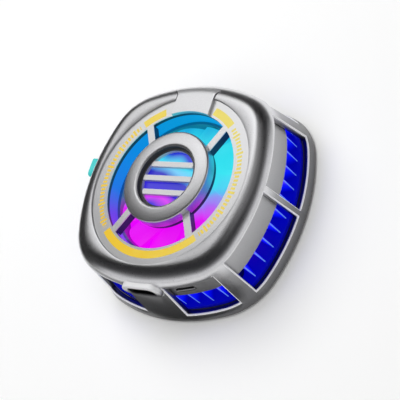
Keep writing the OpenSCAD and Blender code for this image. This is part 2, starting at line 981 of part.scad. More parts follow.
// Foam gasket round the module, between the rear cover and the heat sink
module gasket() {
    color(graphite)
        translate([0, 0, z_cover])
            linear_extrude(z_sink - z_cover)
                difference() {
                    circle(gasket_r);
                    square(module_w + 0.6, center = true);
                }
}

module cold_plate() {
    edge = 0.3;
    color(steel)
        rotate_extrude()
            polygon([[0, 0], [cold_r - edge, 0], [cold_r, edge], [cold_r, cold_t], [0, cold_t]]);
}

// Magnets of the ring, in four groups between the screws, grown by a gap for their pockets
module magnet_solids(gap) {
    for (i = [0:3], j = [0:magnet_n - 1])
        rotate([0, 0, 90 * i + (j - (magnet_n - 1) / 2) * magnet_step - magnet_angle / 2 - gap])
            rotate_extrude(angle = magnet_angle + 2 * gap)
                translate([magnet_in_r - gap, z_rear + magnet_skin])
                    square([magnet_w + 2 * gap, cover_t - magnet_skin + 2 * gap]);
}

module magnets() {
    color(steel)
        magnet_solids(0);
}

// Rear cover inside the flared rim, with pockets for the magnets
module rear_cover() {
    color(graphite)
        difference() {
            outline_plate(cover_u, z_rear, z_cover);
            disc(cover_hole_r, z_rear - lap, z_cover + lap);
            at_corners(post_xy) {
                disc(screw_r + 0.2, z_rear - lap, z_cover + lap);
                disc(screw_head_r + 0.2, z_rear - lap, z_rear + screw_head_t);
            }
            magnet_solids(slip);
        }
}

module cover_screws() {
    color(steel)
        at_corners(post_xy)
            translate([0, 0, z_rear + screw_head_t])
                mirror([0, 0, 1])
                    screw(cover_t - screw_head_t + screw_depth - 0.6);
}

// Soft ring that grips the phone round the cold plate
module pad_ring() {
    edge = 0.3;
    color(graphite)
        rotate_extrude()
            polygon([
                [pad_in_r, z_rear], [pad_in_r, edge], [pad_in_r + edge, 0],
                [pad_out_r - edge, 0], [pad_out_r, edge], [pad_out_r, z_rear]
            ]);
}

// Circuit board on two standoffs, cut round the shroud
module main_board() {
    color(board_green)
        translate([0, 0, z_board])
            linear_extrude(board_t)
                difference() {
                    union() {
                        translate([-board_w / 2, -board_shoulder])
                            square([board_w, board_shoulder - board_back]);
                        translate([-board_nose_w / 2, -board_front])
                            square([board_nose_w, board_front - board_back]);
                    }
                    circle(max(shroud_r + shroud_wall, open_r + guide_t) + frame_gap);
                }
}

module controller_chips() {
    l = 3;
    w = 2.2;
    h = 0.8;
    gap = 1;
    inset = 2;
    setback = 0.6;
    color(graphite)
        for (i = [0, 1])
            translate([-board_w / 2 + inset + (l + gap) * i, -board_shoulder + setback, z_board_top])
                cube([l, w, h]);
}

// Metal shell of the socket
module socket_shell() {
    front = socket_front - socket_recess;
    color(steel)
        on_socket()
            difference() {
                slot_bar(socket_w, socket_h, -front, -front + socket_len);
                slot_bar(
                    socket_w - 2 * socket_t, socket_h - 2 * socket_t,
                    -front - lap, -front + socket_len - socket_back_t
                );
            }
}

module socket_tongue() {
    setback = 0.8;
    front = socket_front - socket_recess - setback;
    w = 6.7;
    t = 0.7;
    color(graphite)
        on_socket()
            translate([-w / 2, -front, -t / 2])
                cube([w, socket_len - setback - socket_back_t, t]);
}

// Key body with round ends and a flange that keeps it behind the wall
module key_solid(l, h, face, flange) {
    slot_bar(l, h, -face, -flange + key_flange_t);
    slot_bar(l + 2 * key_flange, h + 2 * key_flange, -flange, -flange + key_flange_t);
}

// Front of a switch's body, behind the key whose flange is at this distance
function switch_y(flange) = -flange + key_flange_t + switch_gap + plunger_d;

// Push switch whose plunger faces the key
module switch_solid(flange) {
    translate([-switch_w / 2, switch_y(flange), -switch_h / 2])
        cube([switch_w, switch_d, switch_h]);
    translate([-switch_w / 4, switch_y(flange) - plunger_d, -switch_h / 4])
        cube([switch_w / 2, plunger_d + lap, switch_h / 2]);
}

module mode_key() {
    color(steel)
        on_mode_side()
            key_solid(mode_key_l, mode_key_h, mode_face, mode_flange);
}

module mode_switch() {
    color(graphite)
        on_mode_side()
            switch_solid(mode_flange);
}

module light_key() {
    color(teal)
        on_light_side()
            key_solid(light_key_l, light_key_h, light_face, light_flange);
}

module light_switch() {
    color(graphite)
        on_light_side()
            switch_solid(light_flange);
}

front_shell();
face_ring();
hub_ring();
hub_grille();
hub_lens();
top_bridge();
socket_frame();
light_guide();
light_board();
lamps();
impeller();
rotor_yoke();
rotor_magnet();
fan_shaft();
shaft_clip();
bearing_bush();
stator_core();
stator_coils();
fan_frame();
fan_screws();
heat_sink();
module_hot_plate();
module_pellets();
module_cold_plate();
gasket();
cold_plate();
magnets();
rear_cover();
cover_screws();
pad_ring();
main_board();
controller_chips();
socket_shell();
socket_tongue();
mode_key();
mode_switch();
light_key();
light_switch();
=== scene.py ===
import math

import bpy
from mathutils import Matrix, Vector


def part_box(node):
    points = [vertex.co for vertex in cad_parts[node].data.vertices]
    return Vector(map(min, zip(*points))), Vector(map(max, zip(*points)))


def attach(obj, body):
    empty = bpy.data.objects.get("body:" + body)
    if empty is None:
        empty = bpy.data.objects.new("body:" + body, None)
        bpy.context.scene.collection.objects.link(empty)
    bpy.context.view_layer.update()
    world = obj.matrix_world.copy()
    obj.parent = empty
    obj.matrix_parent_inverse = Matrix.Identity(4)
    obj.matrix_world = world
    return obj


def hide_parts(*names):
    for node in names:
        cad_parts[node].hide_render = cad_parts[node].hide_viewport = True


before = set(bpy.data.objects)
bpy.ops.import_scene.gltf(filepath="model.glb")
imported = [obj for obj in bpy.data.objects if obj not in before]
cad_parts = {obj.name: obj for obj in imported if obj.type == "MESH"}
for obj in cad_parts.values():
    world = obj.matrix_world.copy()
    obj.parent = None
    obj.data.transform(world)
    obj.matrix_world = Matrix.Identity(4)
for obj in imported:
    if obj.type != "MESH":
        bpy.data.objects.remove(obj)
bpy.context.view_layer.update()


# Camera
# The photograph looks down on the face from its right, turned so that the bridge stands upright.
# The view was fitted on the rings, the rear edge and the windows, with a 126 mm lens.
MM = 0.001
camera_place = Vector((233.97, -120.65, 279.2)) * MM
camera_lean = [math.radians(degrees) for degrees in (31.4184, 32.4229, 21.2312)]
camera = bpy.data.objects.new("camera", bpy.data.cameras.new("camera"))
bpy.context.collection.objects.link(camera)
camera.data.lens = 126
camera.data.sensor_width = 36
camera.data.clip_start = 0.01
camera.location = camera_place
camera.rotation_euler = camera_lean
bpy.context.scene.camera = camera
bpy.context.scene.view_settings.view_transform = "Standard"


# Floor and studio light
# A pale matt paper floor in a dark studio with a bright horizon. A near softbox, its two wings and
# an overhead panel hang where the flat faces mirror them, a key and a fill light the rest
# unmirrored, and two dark cards shade the left wall and the rim below the socket.
class Tone:
    """One socket of a material. Sums of tones add Math nodes, and node() adds any other node."""

    def __init__(self, socket):
        self.socket = socket

    def node(self, kind, sockets=None, output=0, stops=None, **settings):
        tree = self.socket.id_data
        made = tree.nodes.new(kind)
        for name, value in settings.items():
            setattr(made, name, value)
        if stops:
            ramp = made.color_ramp.elements
            while len(ramp) < len(stops):
                ramp.new(0.5)
            for element, (place, colour) in zip(ramp, stops):
                element.position = place
                element.color = (*colour, 1)
        for name, value in (sockets or {}).items():
            if isinstance(value, Tone):
                tree.links.new(value.socket, made.inputs[name])
            else:
                made.inputs[name].default_value = value
        return Tone(made.outputs[output])

    def math(self, operation, *values):
        return self.node("ShaderNodeMath", dict(enumerate(values)), operation=operation)

    def __add__(self, other):
        return self.math("ADD", self, other)

    def __radd__(self, other):
        return self.math("ADD", other, self)

    def __sub__(self, other):
        return self.math("SUBTRACT", self, other)

    def __rsub__(self, other):
        return self.math("SUBTRACT", other, self)

    def __mul__(self, other):
        return self.math("MULTIPLY", self, other)

    def __rmul__(self, other):
        return self.math("MULTIPLY", other, self)

    def __truediv__(self, other):
        return self.math("DIVIDE", self, other)

    def __gt__(self, other):
        return self.math("GREATER_THAN", self, other)

    def __lt__(self, other):
        return self.math("LESS_THAN", self, other)

    def into(self, socket):
        socket.id_data.links.new(self.socket, socket)


def new_finish(name, **constants):
    """A material with these constants, its shader's sockets and its Object coordinates."""
    material = bpy.data.materials.new(name)
    material.use_nodes = True
    shader = material.node_tree.nodes["Principled BSDF"]
    for socket_name, value in constants.items():
        shader.inputs[socket_name.replace("_", " ")].default_value = value
    place = Tone(shader.outputs[0]).node("ShaderNodeTexCoord", output="Object")
    return material, shader.inputs, place


def grain(place, size, detail=2.0):
    """Noise from 0 to 1 with grains of about this size."""
    return place.node("ShaderNodeTexNoise", {"Vector": place, "Scale": 1 / size, "Detail": detail})


def axes(place):
    """X, Y and Z of a place."""
    parts = place.node("ShaderNodeSeparateXYZ", {0: place})
    return [Tone(socket) for socket in parts.socket.node.outputs]


def between(value, low, high):
    """1 where a value lies between two limits, and 0 elsewhere."""
    return (value > low) * (value < high)


def bump(height, depth, strength=1.0):
    """Relief of this depth from a height of 0 to 1."""
    return height.node("ShaderNodeBump", {"Height": height, "Distance": depth, "Strength": strength})


def blend(mask, low, high):
    """A colour between two, by a mask from 0 to 1."""
    return mask.node("ShaderNodeMix", {0: mask, 6: low, 7: high}, output=2, data_type="RGBA")


def ease(value, low, high, start=0.0, end=1.0):
    """Goes smoothly from start to end while a value goes from low to high."""
    return value.node(
        "ShaderNodeMapRange", {0: value, 1: low, 2: high, 3: start, 4: end},
        interpolation_type="SMOOTHSTEP",
    )


floor_radius = 3.0
floor_drop = 0.1 * MM
fade_from = 85 * MM
fade_to = 400 * MM
fade_ripple = 8 * MM
bpy.ops.object.select_all(action="DESELECT")
bpy.ops.mesh.primitive_circle_add(
    vertices=96, radius=floor_radius, fill_type="NGON", location=(0, 0, -floor_drop)
)
floor = bpy.context.object
floor.name = "floor"
floor_paper, floor_sockets, floor_place = new_finish(
    "floor_paper", Roughness=0.9, Specular_IOR_Level=0.1
)
floor_reach = floor_place.node(
    "ShaderNodeVectorMath", {0: floor_place}, output="Value", operation="LENGTH"
)
# The floor's colour is a painted pool of light: pale near the object and dark grey further out.
painted_light_pool = ease(floor_reach + fade_ripple * grain(floor_place, 40 * MM), fade_from, fade_to)
blend(painted_light_pool, (0.97, 0.97, 0.965, 1), (0.36, 0.36, 0.37, 1)).into(floor_sockets["Base Color"])
floor.data.materials.append(floor_paper)

studio = bpy.data.worlds.new("studio")
studio.use_nodes = True
studio_light = studio.node_tree.nodes["Background"]
studio_place = Tone(studio_light.outputs[0]).node("ShaderNodeTexCoord", output="Generated")
studio_x, studio_y, studio_z = axes(studio_place)
studio_walls = studio_z.node(
    "ShaderNodeValToRGB",
    {0: studio_z},
    stops=[
        (0.00, (0.95, 0.95, 0.96)),
        (0.14, (0.78, 0.78, 0.79)),
        (0.28, (0.46, 0.46, 0.47)),
        (0.40, (0.22, 0.22, 0.225)),
        (0.50, (0.09, 0.09, 0.093)),
        (0.62, (0.035, 0.035, 0.037)),
        (0.80, (0.020, 0.020, 0.022)),
    ],
)
studio_walls.into(studio_light.inputs["Color"])
studio_side = 0.87 * studio_y - 0.5 * studio_x
ease(studio_side, 0.1, 0.55, 1.05, 0.1).into(studio_light.inputs["Strength"])
bpy.context.scene.world = studio


def hang_lamp(name, towards, distance, size, power, mirrored):
    """Hangs a lamp of this width and height in this direction from the face, pointed at it."""
    lamp = bpy.data.objects.new(name, bpy.data.lights.new(name, "AREA"))
    bpy.context.collection.objects.link(lamp)
    lamp.data.shape = "RECTANGLE"
    lamp.data.size, lamp.data.size_y = size
    lamp.data.energy = power
    lamp.location = Vector(towards).normalized() * distance
    lamp.rotation_euler = Vector(towards).to_track_quat("Z", "Y").to_euler()
    lamp.visible_glossy = mirrored


hang_lamp("softbox", (-0.528, 0.451, 0.72), 0.254, (0.122, 0.122), 0.0468, True)
hang_lamp("inner_wing", (-0.302, 0.40, 0.865), 0.285, (0.09, 0.13), 0.026, True)
hang_lamp("outer_wing", (-0.018, 0.397, 0.918), 0.305, (0.13, 0.15), 0.0153, True)
hang_lamp("overhead", (0.3, 0.33, 0.9), 0.8, (0.45, 0.45), 0.09, True)
hang_lamp("key", (-0.5, 0.42, 1.0), 1.0, (0.8, 0.8), 5.2, False)
hang_lamp("fill", (0.15, -0.2, 1.0), 1.0, (1.4, 1.4), 7.9, False)

for card_name, card_size, card_middle, card_shade in (
    ("left_card", (2, 150, 80), (-100, 0, 40), 0.05),
    ("front_card", (110, 20, 0.2), (-22, -43, 0.2), 0.16),
):
    bpy.ops.object.select_all(action="DESELECT")
    bpy.ops.mesh.primitive_cube_add(size=1)
    dark_card = bpy.context.object
    dark_card.name = card_name
    bpy.ops.object.mode_set(mode="EDIT")
    bpy.ops.transform.resize(value=Vector(card_size) * MM)
    bpy.ops.transform.translate(value=Vector(card_middle) * MM)
    bpy.ops.object.mode_set(mode="OBJECT")
    card_paper, card_sockets, card_place = new_finish(
        card_name + "_paper", Roughness=1.0, Specular_IOR_Level=0.0
    )
    card_tones = [(shade, shade, shade, 1) for shade in (0.9 * card_shade, 1.1 * card_shade)]
    blend(grain(card_place, 20 * MM), *card_tones).into(card_sockets["Base Color"])
    dark_card.data.materials.append(card_paper)
    dark_card.visible_camera = False
    dark_card.visible_diffuse = False
    dark_card.visible_shadow = False


# Cold plate
# A turned aluminium disc that lies against the phone, fine-brushed in one direction.
def dress(finish, *nodes):
    """Gives CAD nodes their finish."""
    for node in nodes:
        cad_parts[node].material_slots[0].material = finish


plate_metal, plate_sockets, plate_place = new_finish("plate_metal", Metallic=1.0)
brushing = grain(
    plate_place.node("ShaderNodeMapping", {"Vector": plate_place, "Scale": (1, 0.03, 1)}), 0.12 * MM
)
blend(brushing, (0.70, 0.70, 0.71, 1), (0.82, 0.82, 0.83, 1)).into(plate_sockets["Base Color"])
(0.24 + 0.14 * brushing).into(plate_sockets["Roughness"])
bump(brushing, 0.01 * MM, 0.6).into(plate_sockets["Normal"])
dress(plate_metal, "cold_plate")


# Soft ring and gasket
# Silicone ring that grips the phone, and the foam that seals the module from the air.
def grained_finish(name, size, dull, bright, rough, relief=None, detail=2.0, **constants):
    """A finish of two shades that a fine grain mixes, and that it roughens and raises."""
    finish, sockets, place = new_finish(name, **constants)
    speck = grain(place, size, detail)
    blend(speck, (*dull, 1), (*bright, 1)).into(sockets["Base Color"])
    (rough[0] + rough[1] * speck).into(sockets["Roughness"])
    if relief:
        bump(speck, *relief).into(sockets["Normal"])
    return finish


soft_silicone = grained_finish(
    "soft_silicone", 0.35 * MM, (0.030, 0.031, 0.034), (0.050, 0.051, 0.055), (0.62, 0.2),
    (0.02 * MM, 0.5), Specular_IOR_Level=0.3,
)
dress(soft_silicone, "pad_ring", "gasket")


# Rear cover, its magnets and screws
# Dark moulded cover with a fine spark texture, over nickel-plated magnets. Four small plated
# screws hold it to the posts of the housing.
dark_moulding = grained_finish(
    "dark_moulding", 0.3 * MM, (0.035, 0.036, 0.040), (0.058, 0.060, 0.065), (0.42, 0.2),
    (0.03 * MM, 0.7), 4.0,
)
dress(dark_moulding, "rear_cover", "controller_chips", "mode_switch", "light_switch", "socket_tongue")

plated_steel = grained_finish(
    "plated_steel", 0.5 * MM, (0.50, 0.50, 0.52), (0.62, 0.62, 0.64), (0.22, 0.18), Metallic=1.0
)
dress(
    plated_steel, "cover_screws", "fan_screws", "rotor_yoke", "fan_shaft", "shaft_clip",
    "stator_core",
)

nickel = grained_finish(
    "nickel", 0.8 * MM, (0.30, 0.30, 0.31), (0.40, 0.39, 0.38), (0.30, 0.2), Metallic=1.0
)
dress(nickel, "magnets", "rotor_magnet")


# Thermoelectric module
# Two thin ceramic plates with dark semiconductor pellets soldered between them.
white_ceramic, ceramic_sockets, ceramic_place = new_finish("white_ceramic", Roughness=0.55)
ceramic_grain = grain(ceramic_place, 0.6 * MM)
blend(ceramic_grain, (0.80, 0.80, 0.77, 1), (0.88, 0.88, 0.86, 1)).into(ceramic_sockets["Base Color"])
dress(white_ceramic, "module_hot_plate", "module_cold_plate")

pellet_metal = grained_finish(
    "pellet_metal", 0.4 * MM, (0.08, 0.08, 0.09), (0.16, 0.16, 0.17), (0.35, 0.25), Metallic=0.8
)
dress(pellet_metal, "module_pellets")


# Heat sink
# Skived aluminium fins with a blue coat, with the deep blue of the lamps above them painted on as
# glow.
# The cut outer edges of the fins carry a painted highlight, the glow is painted darker towards the
# base as shade, and within the fan's reach the fins take a painted glow in the lamps' colours.
sink_low, sink_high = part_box("heat_sink")
fin_foot = sink_low.z + 1.2 * MM
glow_foot = 3.6 * MM
fin_step = math.radians(360 / 44)
edge_half = 0.13 * MM
fan_reach = 20.5 * MM
lit_fins, fin_sockets, fin_place = new_finish(
    "lit_fins", Metallic=0.5, Roughness=0.35, Emission_Strength=1.0
)
fin_x, fin_y, fin_z = axes(fin_place)
fin_facing = fin_place.node("ShaderNodeTexCoord", output="Normal")
fin_outward = fin_place.node(
    "ShaderNodeVectorMath", {0: fin_place, 1: (1, 1, 0)}, operation="MULTIPLY"
)
fin_reach = fin_outward.node(
    "ShaderNodeVectorMath", {0: fin_outward}, output="Value", operation="LENGTH"
)
fin_outward = fin_outward.node("ShaderNodeVectorMath", {0: fin_outward}, operation="NORMALIZE")
fin_edge = fin_place.node(
    "ShaderNodeVectorMath", {0: fin_facing, 1: fin_outward}, output="Value", operation="DOT_PRODUCT"
)
fin_across = fin_y.math("ARCTAN2", fin_y, fin_x) / fin_step
fin_across = (fin_across.math("FRACT", fin_across) - 0.5) * fin_step * fin_reach
fin_across = fin_across.math("ABSOLUTE", fin_across)
fin_height = (fin_z - glow_foot) / (sink_high.z - glow_foot)
fin_painted_highlight = (fin_edge > 0.75) * (fin_across < edge_half) * (fin_z > fin_foot + 0.02 * MM)
fin_wash = grain(fin_place, 9 * MM, 1.0)
fin_painted_glow = fin_height.node(
    "ShaderNodeValToRGB",
    {0: fin_height * (0.6 + 0.8 * fin_wash)},
    stops=[
        (0.0, (0.000, 0.000, 0.220)),
        (0.2, (0.000, 0.000, 0.440)),
        (0.5, (0.000, 0.004, 0.820)),
        (0.8, (0.010, 0.010, 0.920)),
        (1.0, (0.080, 0.040, 1.000)),
    ],
)


def painted_lamp_light(place, spread):
    """The lamps' colours, magenta at the socket's side and cyan at the bridge's side, painted as glow
    on the lamps and on what they light.
    """
    drawn_down = place.node("ShaderNodeMapping", {"Vector": place, "Scale": (1, 1, 0.2)})
    streak = grain(drawn_down, 6 * MM, 1.0)
    along = (axes(place)[1] + spread * (streak - 0.5)) / (40 * MM) + 0.5
    return along.node(
        "ShaderNodeValToRGB",
        {0: along},
        stops=[
            (0.00, (0.860, 0.000, 0.900)),
            (0.30, (0.760, 0.002, 0.900)),
            (0.42, (0.400, 0.150, 0.900)),
            (0.52, (0.110, 0.500, 0.900)),
            (0.62, (0.040, 0.780, 0.880)),
            (0.80, (0.020, 0.700, 0.820)),
            (1.00, (0.004, 0.380, 0.700)),
        ],
    )


fin_painted_light = blend(fin_reach < fan_reach, fin_painted_glow, painted_lamp_light(fin_place, 9 * MM))
blend(fin_painted_highlight, fin_painted_light, (0.110, 0.230, 0.600, 1)).into(fin_sockets["Emission Color"])
blend(fin_painted_highlight, (0.004, 0.008, 0.140, 1), (0.05, 0.12, 0.4, 1)).into(fin_sockets["Base Color"])
dress(lit_fins, "heat_sink")


# Fan frame
# Moulded tray with a silver coat. It carries the motor on four struts and fills the front of
# the windows with a plain drafted wall.
def silver_coat(name, rough, painted_shades, metal=1.0):
    """A satin metallic coat with fine flakes, with painted shade by height in mm and a painted
    highlight at cut edges.
    """
    top = 25
    finish, sockets, place = new_finish(name)
    flakes = grain(place, 0.28 * MM, 3.0)
    cloud = grain(place, 14 * MM, 1.0)
    rise = axes(place)[2] / (top * MM)
    dull, bright = [
        rise.node(
            "ShaderNodeValToRGB",
            {0: rise},
            stops=[
                (height / top, (part * shade, part * shade, part * shade * 1.02))
                for height, shade in painted_shades
            ],
        )
        for part in (0.85, 1.12)
    ]
    painted_highlight_edge = place.node("ShaderNodeAttribute", output="Fac", attribute_name="painted_highlight_edge")
    coat = blend(0.7 * flakes + 0.3 * cloud, dull, bright)
    blend(painted_highlight_edge, coat, (0.92, 0.92, 0.93, 1)).into(sockets["Base Color"])
    (metal * (1 - painted_highlight_edge)).into(sockets["Metallic"])
    (rough + 0.08 * flakes).into(sockets["Roughness"])
    bump(flakes, 0.02 * MM, 0.35).into(sockets["Normal"])
    return finish


# The coat is painted darker towards the rear as shade.
frame_silver = silver_coat("frame_silver", 0.36, [(9, 0.30), (13, 0.40), (17, 0.50)])
dress(frame_silver, "fan_frame")


# Motor
# Enamelled copper windings on the stator's poles, and a bronze bush for the shaft.
copper_wire, wire_sockets, wire_place = new_finish("copper_wire", Metallic=1.0, Roughness=0.3)
wire_turns = wire_place.node(
    "ShaderNodeTexWave", {"Vector": wire_place, "Scale": 900, "Distortion": 0.4}, output=1
)
blend(wire_turns, (0.45, 0.17, 0.06, 1), (0.80, 0.38, 0.16, 1)).into(wire_sockets["Base Color"])
bump(wire_turns, 0.05 * MM).into(wire_sockets["Normal"])
dress(copper_wire, "stator_coils", "bearing_bush")


# Fan wheel
# Eleven cambered blades on a cup, moulded in clear plastic, with the lamps' colours painted on as
# glow.
clear_blades, blade_sockets, blade_place = new_finish(
    "clear_blades", Roughness=0.4, Specular_IOR_Level=0.1, Emission_Strength=1.0
)
painted_lamp_light(blade_place, 9 * MM).into(blade_sockets["Emission Color"])
blend(grain(blade_place, 3 * MM), (0.010, 0.012, 0.020, 1), (0.025, 0.028, 0.040, 1)).into(
    blade_sockets["Base Color"]
)
dress(clear_blades, "impeller")


# Boards and lamps
# Green solder mask over the copper, and white lamp packages under the face ring.
solder_mask, mask_sockets, mask_place = new_finish("solder_mask", Roughness=0.35)
mask_tracks = mask_place.node(
    "ShaderNodeTexVoronoi", {"Vector": mask_place, "Scale": 700}, distance="CHEBYCHEV"
)
blend(mask_tracks > 0.55, (0.010, 0.085, 0.045, 1), (0.020, 0.140, 0.075, 1)).into(
    mask_sockets["Base Color"]
)
dress(solder_mask, "main_board", "light_board")

lamp_caps, cap_sockets, cap_place = new_finish("lamp_caps", Roughness=0.3, Emission_Strength=1.0)
painted_lamp_light(cap_place, 0.0).into(cap_sockets["Emission Color"])
dress(lamp_caps, "lamps")


# Light guide
# Clear ring round the opening that carries the lamps' light down the wall, blue over violet.
lit_guide, guide_sockets, guide_place = new_finish(
    "lit_guide", Roughness=0.3, Specular_IOR_Level=0.2, Emission_Strength=0.9
)
guide_along = axes(guide_place)[1] / (42 * MM) + 0.5
guide_along.node(
    "ShaderNodeValToRGB",
    {0: guide_along},
    stops=[
        (0.00, (0.200, 0.020, 0.800)),
        (0.28, (0.120, 0.060, 0.800)),
        (0.45, (0.010, 0.180, 0.820)),
        (0.75, (0.000, 0.260, 0.800)),
        (1.00, (0.000, 0.330, 0.700)),
    ],
).into(guide_sockets["Emission Color"])
blend(grain(guide_place, 2 * MM), (0.010, 0.015, 0.030, 1), (0.020, 0.030, 0.050, 1)).into(
    guide_sockets["Base Color"]
)
dress(lit_guide, "light_guide")


# Housing
# One moulded shell with a satin silver coat: a flared rear rim, drafted walls with windows, and
# a deep rounded bezel. Its wall is swept round four bowed sides and four corner arcs.
shell_low, shell_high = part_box("front_shell")
half_width = shell_high.x
bow_gap = 35 * MM
seam_across = 0.352
seam_along = 0.936
seam_angle = math.atan2(seam_across, seam_along)
corner_centre = bow_gap * seam_across
side_centre = bow_gap * seam_along - corner_centre
draft = math.radians(8.7)
rim_width = half_width - 0.7 * MM
rim_top = shell_low.z + 2.5 * MM
bezel_round = 4.5 * MM
bezel_level = shell_high.z - bezel_round
bezel_width = rim_width - (bezel_level - rim_top) * math.tan(draft) - bezel_round / math.cos(draft)
window_top = shell_high.z - 3.2 * MM
end_window_top = shell_high.z - 4.5 * MM
seat_radius = bezel_width - 0.33 * MM
seat_depth = 2.6 * MM
merge_reach = 0.005 * MM


def start(name):
    """A new piece in edit mode that is one vertex at the origin."""
    bpy.ops.object.select_all(action="DESELECT")
    bpy.ops.mesh.primitive_plane_add(size=MM)
    piece = bpy.context.object
    piece.name = name
    piece.data.name = name
    bpy.ops.object.mode_set(mode="EDIT")
    bpy.ops.mesh.merge(type="CENTER")
    bpy.ops.mesh.select_all(action="SELECT")
    return piece


def draw(points):
    """Moves the one vertex to the first point, and draws edges through the others."""
    points = [Vector(point) for point in points]
    bpy.ops.transform.translate(value=points[0])
    for here, there in zip(points, points[1:]):
        bpy.ops.mesh.extrude_vertices_move(TRANSFORM_OT_translate={"value": there - here})


def turn(angle, centre, steps, axis=(0, 0, 1)):
    """Spins what is selected to the left about an axis, with a face at each step."""
    bpy.ops.mesh.spin(steps=steps, angle=-angle, center=centre, axis=axis)


def pick(piece, test, part="vertices"):
    """Selects the vertices or faces of a piece whose place passes a test, and nothing else."""
    bpy.ops.object.mode_set(mode="EDIT")
    bpy.ops.mesh.select_mode(type="VERT" if part == "vertices" else "FACE")
    bpy.ops.mesh.select_all(action="DESELECT")
    bpy.ops.object.mode_set(mode="OBJECT")
    for each in getattr(piece.data, part):
        each.select = test(each.co if part == "vertices" else each.center)
    bpy.ops.object.mode_set(mode="EDIT")


def apply(piece, kind, **settings):
    """Adds a modifier to a piece and applies it."""
    bpy.ops.object.mode_set(mode="OBJECT")
    bpy.context.view_layer.objects.active = piece
    modifier = piece.modifiers.new(kind.lower(), kind)
    for name, value in settings.items():
        setattr(modifier, name, value)
    bpy.ops.object.modifier_apply(modifier=modifier.name)


def close(piece):
    """Merges the ends of a sweep and turns all faces outwards."""
    bpy.ops.object.mode_set(mode="EDIT")
    bpy.ops.mesh.select_all(action="SELECT")
    bpy.ops.mesh.remove_doubles(threshold=merge_reach)
    bpy.ops.mesh.normals_make_consistent(inside=False)
    bpy.ops.object.mode_set(mode="OBJECT")


def smooth(piece):
    """Shades a piece smoothly, apart from its sharp edges."""
    bpy.ops.object.select_all(action="DESELECT")
    piece.select_set(True)
    bpy.context.view_layer.objects.active = piece
    bpy.ops.object.shade_smooth_by_angle(angle=math.radians(32))


def finish_piece(piece, body, finish, slot, *nodes):
    """Gives a piece its finish, its body and the CAD nodes that it stands for."""
    piece.data.materials.clear()
    piece.data.materials.append(finish)
    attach(piece, body)
    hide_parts(*nodes)


def wall_width(z):
    """Half the width of the drafted wall at a height."""
    return rim_width - (z - rim_top) * math.tan(draft)


def quarter_turned(point, quarters):
    """A point of the plan after some quarter turns about the fan's axis."""
    x, y = point
    for _ in range(quarters):
        x, y = -y, x
    return (x, y, 0)


housing = start("housing")
arc_start = (
    bezel_width + bezel_round * math.cos(draft),
    0,
    bezel_level + bezel_round * math.sin(draft),
)
draw(
    [
        (half_width, 0, shell_low.z),
        (rim_width, 0, rim_top),
        (wall_width(end_window_top), 0, end_window_top),
        arc_start,
    ]
)
window_lean = math.asin((window_top - bezel_level) / bezel_round)
turn(draft - window_lean, (bezel_width, 0, bezel_level), 3, (0, 1, 0))
turn(window_lean - math.pi / 2, (bezel_width, 0, bezel_level), 16, (0, 1, 0))
bpy.ops.mesh.select_all(action="SELECT")

window_reach = side_centre + rim_width - 1 * MM
mid_post_half = 1.0 * MM
pillar_half = 6.95 * MM
post_turn = math.asin(mid_post_half / window_reach)
pillar_turn = math.asin(pillar_half / window_reach)
window_end = math.radians(36)
for quarter in range(4):
    near_turn, far_turn = (post_turn, pillar_turn) if quarter % 2 == 0 else (pillar_turn, post_turn)
    side = quarter_turned((-side_centre, 0), quarter)
    corner = quarter_turned((corner_centre, corner_centre), quarter)
    next_side = quarter_turned((-side_centre, 0), (quarter + 1) % 4)
    turn(near_turn, side, 3)
    turn(seam_angle - near_turn, side, 18)
    turn(window_end - seam_angle, corner, 8)
    turn(math.pi / 2 - 2 * window_end, corner, 10)
    turn(window_end - seam_angle, corner, 8)
    turn(seam_angle - far_turn, next_side, 18)
    turn(far_turn, next_side, 3)
close(housing)

pick(housing, lambda co: co.z > shell_high.z - merge_reach)
bpy.ops.mesh.extrude_region_move(TRANSFORM_OT_translate={"value": (0, 0, 0)})
bpy.ops.transform.tosphere(value=1)
bpy.ops.object.mode_set(mode="OBJECT")
land_radius = max(vertex.co.xy.length for vertex in housing.data.vertices if vertex.select)
bpy.ops.object.mode_set(mode="EDIT")
bpy.ops.transform.resize(value=(seat_radius / land_radius, seat_radius / land_radius, 1))
bpy.ops.mesh.extrude_region_move(TRANSFORM_OT_translate={"value": (0, 0, -seat_depth)})


def in_window(co):
    """True for a face of the wall that lies in a window."""
    across, along = (abs(co.x), abs(co.y)) if abs(co.x) > abs(co.y) else (abs(co.y), abs(co.x))
    end_side = abs(co.y) > abs(co.x)
    if not rim_top < co.z < (end_window_top if end_side else window_top):
        return False
    if along > corner_centre:
        return math.atan2(along - corner_centre, across - corner_centre) < window_end
    return along / (across + side_centre) > math.tan(pillar_turn if end_side else post_turn)


pick(housing, in_window, "polygons")
bpy.ops.mesh.delete(type="FACE")
close(housing)
apply(housing, "SOLIDIFY", thickness=1.6 * MM, offset=-1, use_even_offset=True)


def combine(piece, tool, operation):
    """Joins, cuts or trims a piece with a tool piece, which is then gone."""
    apply(piece, "BOOLEAN", object=tool, operation=operation, solver="EXACT")
    bpy.data.objects.remove(tool)


def round_bar(name, radius, low, high, sides, middle=(0, 0)):
    """A cylinder along Z as a new piece."""
    bpy.ops.object.select_all(action="DESELECT")
    bpy.ops.mesh.primitive_cylinder_add(vertices=sides, radius=radius, depth=high - low)
    piece = bpy.context.object
    piece.name = name
    bpy.ops.object.mode_set(mode="EDIT")
    bpy.ops.mesh.select_all(action="SELECT")
    bpy.ops.transform.translate(value=(*middle, (low + high) / 2))
    bpy.ops.object.mode_set(mode="OBJECT")
    return piece


